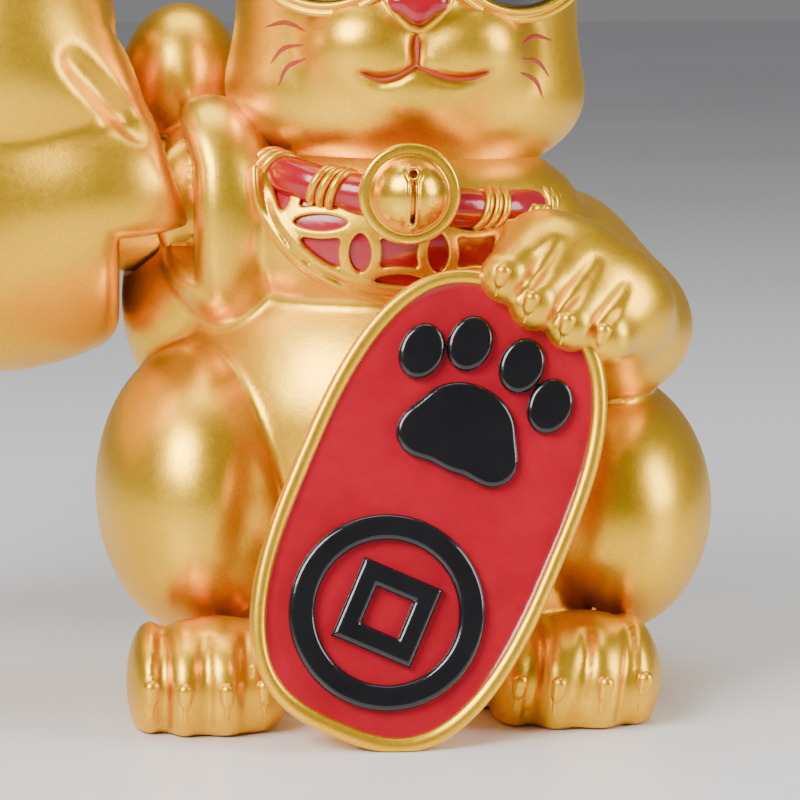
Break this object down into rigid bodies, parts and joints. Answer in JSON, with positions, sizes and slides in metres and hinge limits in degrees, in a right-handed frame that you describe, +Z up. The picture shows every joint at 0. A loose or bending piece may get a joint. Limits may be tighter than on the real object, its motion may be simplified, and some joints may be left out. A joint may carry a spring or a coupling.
{
  "type": "beckoning cat figurine",
  "caption": "Seated golden cat figurine in sunglasses with a giant flexed arm that swings on an axle, holding an oval red plaque",
  "frame": {"origin": "On the flat underside that rests on the table, midway between the haunches", "axes": "+Z up; the cat faces -Y; its own right side, with the giant arm, is -X"},
  "size_m": [0.1903, 0.097, 0.1878],
  "materials": {
    "gold_paint": "satin metallic gold paint on moulded plastic, fine speckled grain",
    "red_enamel": "glossy crimson enamel paint",
    "black_enamel": "glossy black enamel paint",
    "dark_lens": "glossy dark lens",
    "bell_gold": "bright metallic gold paint",
    "black_plastic": "plain moulded black plastic",
    "white_plastic": "plain moulded off-white plastic",
    "steel": "plain steel",
    "iron_weight": "dull grey cast weight",
    "bronze_bush": "turned bush",
    "copper_wire": "enamelled copper wire",
    "magnet_plating": "plated magnet",
    "circuit_green": "green laminate",
    "soft_pad": "soft black rubber",
    "cell_wrap": "plain green wrap, no print",
    "red_wire": "insulated wire",
    "black_wire": "insulated wire"
  },
  "bodies": {
    "figure": {"body_front_shell": "gold_paint", "body_rear_shell": "gold_paint", "body_screws": "steel", "head_front_shell": "gold_paint", "head_rear_shell": "gold_paint", "ear_linings": "red_enamel", "nose": "red_enamel", "sunglasses_frame": "gold_paint", "sunglasses_lenses": "dark_lens", "collar_cord": "red_enamel", "collar_bands": "gold_paint", "bell": "bell_gold", "bib": "red_enamel", "bib_lattice": "gold_paint", "plaque": "gold_paint", "plaque_field": "red_enamel", "plaque_emblems": "black_enamel", "base_plate": "black_plastic", "base_screws": "steel", "foot_pads": "soft_pad", "ballast_plate": "steel", "battery_box": "black_plastic", "battery_cell": "cell_wrap", "battery_spring": "steel", "battery_contact": "steel", "switch_body": "steel", "mechanism_frame": "white_plastic", "frame_screws": "steel", "outer_bush": "bronze_bush", "inner_bush": "bronze_bush", "coil_bobbin": "white_plastic", "drive_coil": "copper_wire", "circuit_board": "circuit_green", "board_components": "black_plastic", "board_posts": "white_plastic", "positive_lead": "red_wire", "negative_lead": "black_wire", "coil_leads": "copper_wire"},
    "arm": {"arm_front_shell": "gold_paint", "arm_rear_shell": "gold_paint", "arm_screws": "steel", "arm_hub": "white_plastic", "arm_axle": "steel", "axle_clip": "steel", "pendulum_lever": "white_plastic", "counterweight": "iron_weight", "drive_magnet": "magnet_plating"},
    "door": {"battery_door": "black_plastic"},
    "slider": {"switch_slider": "black_plastic"}
  },
  "joints": [
    {"name": "arm_swing", "type": "hinge", "parent": "figure", "child": "arm", "pos_m": [-0.04, 0.008, 0.078], "axis": [1, 0, 0], "range_deg": [-15, 15]},
    {"name": "door_slide", "type": "slide", "parent": "figure", "child": "door", "axis": [0, 0, -1], "range_m": [0, 0.02]},
    {"name": "switch_slide", "type": "slide", "parent": "figure", "child": "slider", "axis": [1, 0, 0], "range_m": [0, 0.0025]}
  ]
}
